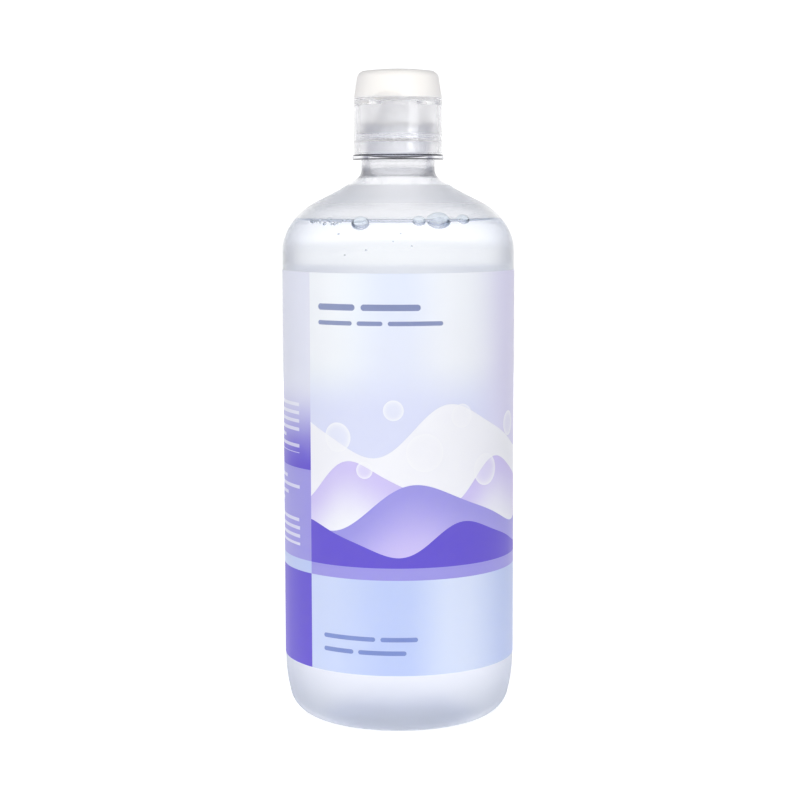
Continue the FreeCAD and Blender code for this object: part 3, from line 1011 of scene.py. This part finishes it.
def make_nozzle():
    """The drip nozzle: ribbed plug in the neck, flange on the lip and tapered tower with the orifice."""
    seat_bottom = nozzle_tip - SEAT_DEPTH
    throat = seat_bottom - ORIFICE_LENGTH
    plug_inner = plug_radius - PLUG_WALL
    corners = [(plug_inner, plug_bottom), (plug_radius, plug_bottom, PLUG_CLEARANCE)]
    for i in range(PLUG_RIB_COUNT, 0, -1):
        middle = lip - PLUG_RIB_SPACING * i
        corners.append((plug_radius, middle - PLUG_RIB_HEIGHT / 2))
        corners.append((BORE_RADIUS - PLUG_RIB_CLEARANCE, middle))
        corners.append((plug_radius, middle + PLUG_RIB_HEIGHT / 2))
    corners += [
        (plug_radius, lip),
        (flange_radius, lip, FLANGE_ROUND),
        (flange_radius, flange_top, FLANGE_ROUND),
        (tower_radius, flange_top, FLANGE_ROUND),
        (TIP_RADIUS, nozzle_tip, TIP_ROUND),
        (SEAT_RADIUS, nozzle_tip),
        (ORIFICE_RADIUS, seat_bottom),
        (ORIFICE_RADIUS, throat),
        (tower_radius_at(throat) - TOWER_WALL, throat),
        (tower_radius - TOWER_WALL, flange_top),
        (plug_inner, lip - PLUG_WALL),
    ]
    return turned("nozzle_insert", rounded(corners, True), True)


def hinge_land(face_height, away):
    """Block at the back of the base (away = -1) or lid (away = 1), which carries the hinge films."""
    wall = skirt_radius - LAND_SINK
    back = film_low.y
    profile = [
        (wall, face_height),
        (back - LAND_CHAMFER, face_height),
        (back, face_height + away * LAND_CHAMFER),
        (back, face_height + away * LAND_HEIGHT),
        (wall, face_height + away * (LAND_HEIGHT + back - wall)),
    ]
    return across("land", profile, film_high.x - film_low.x + 2 * LAND_MARGIN)


def make_closure_base():
    """The clear closure base: skirt, snap ring, clamp skirt, deck, lid rim, thumb scoop and hinge land."""
    skirt_inner = skirt_radius - SKIRT_WALL
    snap_top = bead_bottom - SNAP_BEAD_PROUD / 2 - SNAP_RING_GAP
    snap_radius = finish_radius + SNAP_RING_CLEARANCE
    snap_reach = skirt_inner - snap_radius
    clamp_bottom = flange_top + CLAMP_GAP
    clamp_outer = flange_radius - CLAMP_SKIRT_INSET
    clamp_inner = clamp_outer - CLAMP_SKIRT_WALL
    rim_outer = lid_radius - LID_WALL - LID_RIM_CLEARANCE
    rim_inner = rim_outer - RIM_WIDTH
    hole = tower_radius_at(deck_bottom) + NOZZLE_CLEARANCE
    corners = [
        (skirt_radius, skirt_bottom, SKIRT_ROUND),
        (skirt_radius, lid_seat, SKIRT_ROUND),
        (rim_outer, lid_seat),
        (rim_outer, rim_top, RIM_ROUND),
        (rim_inner, rim_top, RIM_ROUND),
        (rim_inner, deck_top, RIM_ROUND),
        (hole, deck_top, RIM_ROUND),
        (hole, deck_bottom),
        (clamp_inner, deck_bottom),
        (clamp_inner, clamp_bottom, CLAMP_ROUND),
        (clamp_outer, clamp_bottom, CLAMP_ROUND),
        (clamp_outer, deck_bottom),
        (skirt_inner, deck_bottom),
        (skirt_inner, snap_top),
        (snap_radius, snap_top - snap_reach / 2, SNAP_RING_ROUND),
        (snap_radius, snap_top - SNAP_RING_HEIGHT, SNAP_RING_ROUND),
        (skirt_inner, snap_top - SNAP_RING_HEIGHT - snap_reach),
        (skirt_inner, skirt_bottom, SKIRT_ROUND),
    ]
    outline = rounded(corners, True)
    piece = turned("closure_skirt", outline, True)
    piece.data.materials.append(closure_finish("clear_closure", roughness=0.14, scale=180.0, depth=0.006))
    piece.data.materials.append(closure_finish("hazy_closure", roughness=0.34, scale=700.0, depth=0.01))
    inner_row = next(i for i, point in enumerate(outline) if point.x < rim_outer)
    for face in piece.data.polygons:
        face.material_index = 1 if face.index >= inner_row * SEGMENTS else 0
    combine(piece, hinge_land(lid_seat, -1), "UNION")
    scoop_y = -(skirt_radius - SCOOP_DEPTH + SCOOP_RADIUS)
    scoop_z = lid_seat - SCOOP_DROP
    circle = []
    for i in range(SEGMENTS):
        angle = 2 * math.pi * i / SEGMENTS
        circle.append((scoop_y + SCOOP_RADIUS * math.cos(angle), scoop_z + SCOOP_RADIUS * math.sin(angle)))
    combine(piece, across("scoop", circle, 2 * skirt_radius), "DIFFERENCE")
    return piece


def tab_reach(bearing, radius, height):
    """How far the lid's wall goes out, with the thumb tab swelling out of its front."""
    up = (height - lid_bottom) / TAB_HEIGHT
    tab_radius = TAB_RADIUS - (TAB_PROUD + LID_DRAFT) * up
    back = lid_radius + TAB_PROUD - TAB_RADIUS
    away = back * math.sin(bearing)
    inside_wall = radius < lid_radius - LID_WALL / 2
    beside_tab = tab_radius <= abs(away) or math.cos(bearing) < 0
    if inside_wall or up > TAB_LIMIT or beside_tab:
        return radius
    tab = back * math.cos(bearing) + math.sqrt(tab_radius ** 2 - away ** 2)
    gap = tab - radius
    if gap <= -2 * TAB_BLEND:
        return radius
    return radius + (gap + math.sqrt(gap ** 2 + TAB_BLEND ** 2)) / 2


def make_lid():
    """The frosted lid with its crown, thumb tab, seal pin and hinge land."""
    upper = lid_radius - LID_DRAFT
    corner_height = lid_top - LID_CROWN
    inner = lid_radius - LID_WALL
    seat_slope = math.atan2(SEAT_RADIUS - ORIFICE_RADIUS, SEAT_DEPTH)
    seat_apex = nozzle_tip - SEAT_RADIUS / math.tan(seat_slope)
    pin_centre = seat_apex + (SEAL_PIN_RADIUS + SEAL_GAP) / math.sin(seat_slope)
    pin_end = pin_centre - SEAL_PIN_RADIUS
    corners = [
        (0, pin_end),
        (SEAL_PIN_RADIUS, pin_end, SEAL_PIN_ROUND),
        (SEAL_PIN_RADIUS, lid_ceiling),
        (upper - LID_WALL, lid_ceiling, LID_CORNER_RADIUS - LID_WALL),
        (inner, lid_bottom, LID_EDGE_ROUND),
        (lid_radius, lid_bottom, LID_EDGE_ROUND),
    ]
    slope = LID_DRAFT / (corner_height - lid_bottom)
    for i in range(1, TAB_ROWS + 1):
        up = LID_EDGE_ROUND * 2 + TAB_ROWS_TOP * TAB_HEIGHT * i / TAB_ROWS
        corners.append((lid_radius - slope * up, lid_bottom + up))
    corners += [
        (upper, corner_height, LID_CORNER_RADIUS),
        (LID_CROWN_FLAT_RADIUS, lid_top, LID_CROWN_RADIUS),
        (0, lid_top),
    ]
    piece = turned("lid_shell", rounded(corners, False), False, tab_reach)
    combine(piece, hinge_land(lid_bottom, 1), "UNION")
    return piece


def make_hinge():
    """The two thin films of the living hinge, in rows so that they can bend."""
    width = (film_high.x - film_low.x - FILM_SPACING) / 2
    places = []
    faces = []
    for left in (film_low.x, film_high.x - width):
        start = len(places)
        for i in range(HINGE_ROWS + 1):
            height = film_low.z + (film_high.z - film_low.z) * i / HINGE_ROWS
            for x, y in ((left, film_low.y), (left + width, film_low.y),
                         (left + width, film_high.y), (left, film_high.y)):
                places.append(Vector((x, y, height)) * MM)
        for i in range(HINGE_ROWS):
            row = start + 4 * i
            for k in range(4):
                n = (k + 1) % 4
                faces.append([row + k, row + n, row + 4 + n, row + 4 + k])
        end = start + 4 * HINGE_ROWS
        faces.append([start + 3, start + 2, start + 1, start])
        faces.append([end, end + 1, end + 2, end + 3])
    return mesh_object("hinge_films", places, faces)


def place(piece, material, body, node):
    """Give a piece its finish, and let it stand for a node on a body of the frame."""
    if material:
        piece.data.materials.clear()
        piece.data.materials.append(material)
    if body:
        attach(piece, body)
    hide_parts(node)


# Studio

BACKDROP_WHITE = (1.14, 1.14, 1.14, 1.0)
BACKDROP_FRONT = (0.68, 0.68, 0.68, 1.0)
BACKDROP_SIDE = (0.44, 0.44, 0.50, 1.0)
BACKDROP_CEILING = (0.45, 0.46, 0.49, 1.0)
BACKDROP_ZENITH = (0.08, 0.08, 0.09, 1.0)
FLOOR_SIZE_M = 12.0
FLOOR_WHITE = (1.03, 1.03, 1.03, 1.0)
FLOOR_GLOW = 0.76
FLOOR_NEAR = srgb(200, 200, 202)
FLOOR_FAR = (0.0, 0.0, 0.0, 1.0)

# Where the backdrop changes, as the cosine of a level direction's angle to the view
WHITE_EDGE = (0.55, 0.94)
FRONT_EDGE = (-0.3, -0.9)
# Where the ceiling and the zenith begin and are full, as the height of a direction
CEILING_EDGE = (0.18, 0.6)
ZENITH_EDGE = (0.7, 0.95)
# Where the floor's glow and the floor itself turn into the backdrop, in metres from the bottle
GLOW_EDGE = (0.15, 0.5)
FLOOR_EDGE = (0.3, 2.5)

# Soft area lights: name, bearing from the camera's in degrees, then in metres the distance, height, width,
# length and the height aimed at, then the power, if gloss mirrors it and if it shows through clear walls
LIGHTS = [
    ("key", -10.0, 1.1, 0.75, 0.8, 0.8, 0.12, 5.5, False, False),
    ("back", 180.0, 1.0, 0.4, 0.8, 0.6, 0.1, 3.5, False, False),
    ("strip", 40.4, 0.9, 0.215, 0.42, 0.08, 0.18, 0.65, True, True),
    ("cap", 0.0, 0.8, 0.45, 0.5, 0.5, 0.18, 1.2, False, True),
    ("fill", 0.0, 1.0, 0.2, 0.5, 0.5, 0.08, 1.2, False, False),
]
# Lights that reach some pieces alone, as with flags in a studio
FLAGGED = {
    "strip": ["closure_skirt", "lid_shell"],
    "cap": ["closure_skirt", "lid_shell", "nozzle_insert"],
    "fill": ["wrap_label"],
}

CLEAR_BOUNCES = 48
DIFFUSE_BOUNCES = 12


def backdrop(nodes, direction, white):
    """White behind the bottle, softer behind the camera and greyer to both sides."""
    view = (-math.sin(CAMERA_BEARING), math.cos(CAMERA_BEARING), 0.0)
    flat = nodes.vectors("MULTIPLY", direction, (1.0, 1.0, 0.0))[0]
    level = nodes.vectors("NORMALIZE", flat)[0]
    toward = nodes.vectors("DOT_PRODUCT", level, view)["Value"]
    colour = nodes.mix(nodes.ramp(toward, *WHITE_EDGE), BACKDROP_SIDE, white)
    return nodes.mix(nodes.ramp(toward, *FRONT_EDGE), colour, BACKDROP_FRONT)


def make_world():
    """Soft light from all round, darker above."""
    world = bpy.data.worlds.new("studio")
    world.use_nodes = True
    bpy.context.scene.world = world
    nodes = Nodes(world.node_tree)
    direction = nodes.new("ShaderNodeTexCoord").outputs["Generated"]
    up = nodes.parts(direction)[2]
    above = nodes.ramp(up, *CEILING_EDGE)
    colour = nodes.mix(above, backdrop(nodes, direction, BACKDROP_WHITE), BACKDROP_CEILING)
    overhead = nodes.ramp(up, *ZENITH_EDGE)
    colour = nodes.mix(overhead, colour, BACKDROP_ZENITH)
    nodes.put(world.node_tree.nodes["Background"].inputs["Color"], colour)


def make_floor():
    """A pale floor that runs into the backdrop."""
    half = FLOOR_SIZE_M / 2
    corners = [(-half, -half, 0), (half, -half, 0), (half, half, 0), (-half, half, 0)]
    mesh = bpy.data.meshes.new("floor")
    mesh.from_pydata(corners, [], [(0, 1, 2, 3)])
    floor = linked("floor", mesh)
    material, surface, nodes = plastic("floor_paper", FLOOR_NEAR, roughness=0.9, ior=1.3)
    surface.inputs["Specular IOR Level"].default_value = 0.0
    position = nodes.new("ShaderNodeNewGeometry").outputs["Position"]
    distance = nodes.vectors("LENGTH", position)["Value"]
    into_backdrop = nodes.ramp(distance, *FLOOR_EDGE)
    nodes.put(surface.inputs["Base Color"], nodes.mix(into_backdrop, FLOOR_NEAR, FLOOR_FAR))
    around = backdrop(nodes, position, FLOOR_WHITE)
    glow = nodes.mix(nodes.ramp(distance, *GLOW_EDGE), FLOOR_WHITE, around)
    dimmed = nodes.vectors("MULTIPLY", glow, (FLOOR_GLOW, FLOOR_GLOW, FLOOR_GLOW))[0]
    nodes.put(surface.inputs["Emission Color"], nodes.mix(into_backdrop, dimmed, glow))
    surface.inputs["Emission Strength"].default_value = 1.0
    mesh.materials.append(material)


def make_light(name, bearing, distance, height, width, length, aim, power, mirrored, through):
    """A soft area light that faces the bottle's axis at a height."""
    data = bpy.data.lights.new(name, "AREA")
    data.shape = "RECTANGLE"
    data.size = width
    data.size_y = length
    data.energy = power
    lamp = linked(name, data)
    lamp.visible_glossy = mirrored
    lamp.visible_transmission = through
    lamp.location = at_bearing(CAMERA_BEARING + math.radians(bearing), distance / MM, height / MM)
    away = lamp.location - Vector((0, 0, aim))
    lamp.rotation_mode = "QUATERNION"
    lamp.rotation_quaternion = away.to_track_quat("Z", "Y")
    if name in FLAGGED:
        lit = bpy.data.collections.new(name + "_lit")
        for piece in FLAGGED[name]:
            lit.objects.link(bpy.data.objects[piece])
        lamp.light_linking.receiver_collection = lit


def make_camera():
    """The photograph's viewpoint."""
    data = bpy.data.cameras.new("camera")
    data.lens = CAMERA_LENS
    data.sensor_width = CAMERA_SENSOR
    camera = linked("camera", data)
    camera.location = at_bearing(CAMERA_BEARING, CAMERA_DISTANCE, CAMERA_HEIGHT)
    turn = Matrix.Rotation(CAMERA_BEARING - CAMERA_TRIM, 3, "Z")
    tilt = Matrix.Rotation(math.pi / 2 - CAMERA_PITCH, 3, "X")
    roll = Matrix.Rotation(-CAMERA_ROLL, 3, "Z")
    camera.rotation_euler = (turn @ tilt @ roll).to_euler()
    bpy.context.scene.camera = camera


def set_light_paths():
    """Enough bounces for the many clear walls in line, and colours shown as they are."""
    scene = bpy.context.scene
    scene.cycles.max_bounces = CLEAR_BOUNCES
    scene.cycles.transmission_bounces = CLEAR_BOUNCES
    scene.cycles.glossy_bounces = CLEAR_BOUNCES
    scene.cycles.diffuse_bounces = DIFFUSE_BOUNCES
    scene.cycles.blur_glossy = 0.0
    scene.view_settings.view_transform = "Standard"


def make_pieces():
    """Every piece, each with its finish, in the place of its node."""
    frosted = frosted_finish()
    place(make_bottle(), None, "bottle_body", "bottle")
    place(make_solution(), solution_finish(), "bottle_body", "solution")
    place(make_label(), None, "bottle_body", "label")
    place(make_nozzle(), nozzle_finish(), "bottle_body", "drip_nozzle")
    place(make_closure_base(), None, "bottle_body", "closure_base")
    place(make_lid(), frosted, "lid", "flip_lid")
    hinge = make_hinge()
    place(hinge, frosted, None, "living_hinge")
    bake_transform(hinge)


make_pieces()
make_floor()
make_world()
for light in LIGHTS:
    make_light(*light)
make_camera()
set_light_paths()
